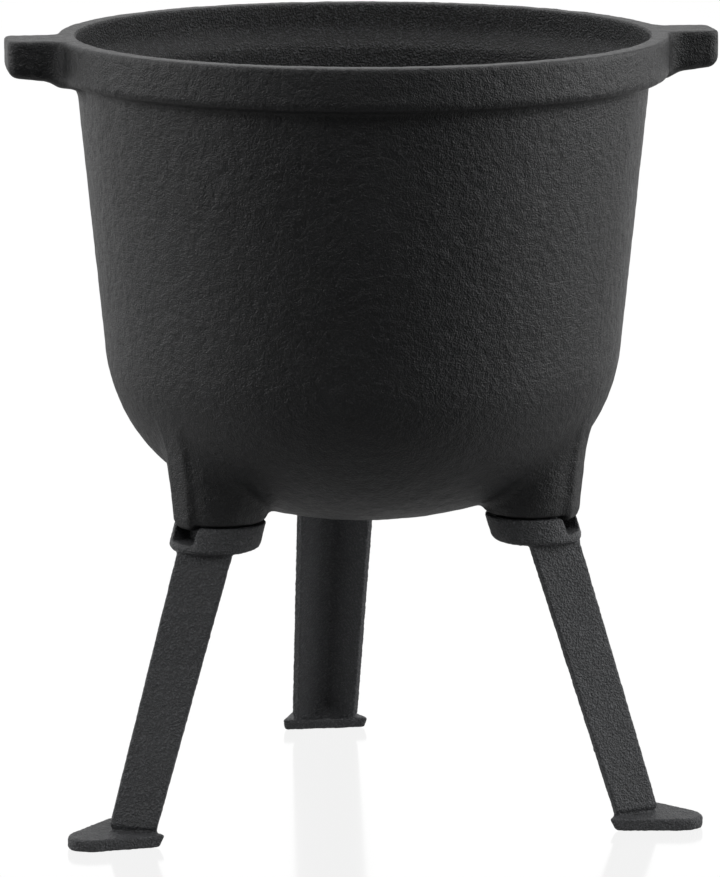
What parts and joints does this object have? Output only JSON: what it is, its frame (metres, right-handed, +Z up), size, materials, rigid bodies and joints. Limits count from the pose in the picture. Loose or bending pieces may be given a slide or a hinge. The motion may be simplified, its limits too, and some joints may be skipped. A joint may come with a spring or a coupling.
{
  "type": "coal forge",
  "caption": "Cast iron coal fire pot with a collared rim, side ears, a lift-out grate and bolted angle-section legs on wedge-shaped feet.",
  "frame": {"origin": "on the pot's axis, at the level of the feet's soles", "axes": "+Z up along the pot's axis; the two ears lie along X; +Y towards the rear leg"},
  "size_m": [0.351, 0.3285, 0.3845],
  "materials": {
    "pot_casting": "black seasoned casting skin, fine leathery grain, satin",
    "leg_casting": "black sand-cast skin, coarse grain, satin",
    "grate_casting": "raw dark casting skin, coarse grain, matt",
    "bolt_steel": "black oxide steel, satin",
    "washer_steel": "zinc-plated steel, dulled"
  },
  "bodies": {
    "pot_and_legs": {"fire_pot": "pot_casting", "rear_leg": "leg_casting", "rear_leg_bolt": "bolt_steel", "rear_leg_washer": "washer_steel", "rear_leg_spring_washer": "washer_steel", "left_leg": "leg_casting", "left_leg_bolt": "bolt_steel", "left_leg_washer": "washer_steel", "left_leg_spring_washer": "washer_steel", "right_leg": "leg_casting", "right_leg_bolt": "bolt_steel", "right_leg_washer": "washer_steel", "right_leg_spring_washer": "washer_steel"},
    "grate": {"fire_grate": "grate_casting"}
  },
  "joints": [
    {"name": "grate_lift", "type": "slide", "parent": "pot_and_legs", "child": "grate", "axis": [0, 0, 1], "range_m": [0, 0.25]}
  ]
}
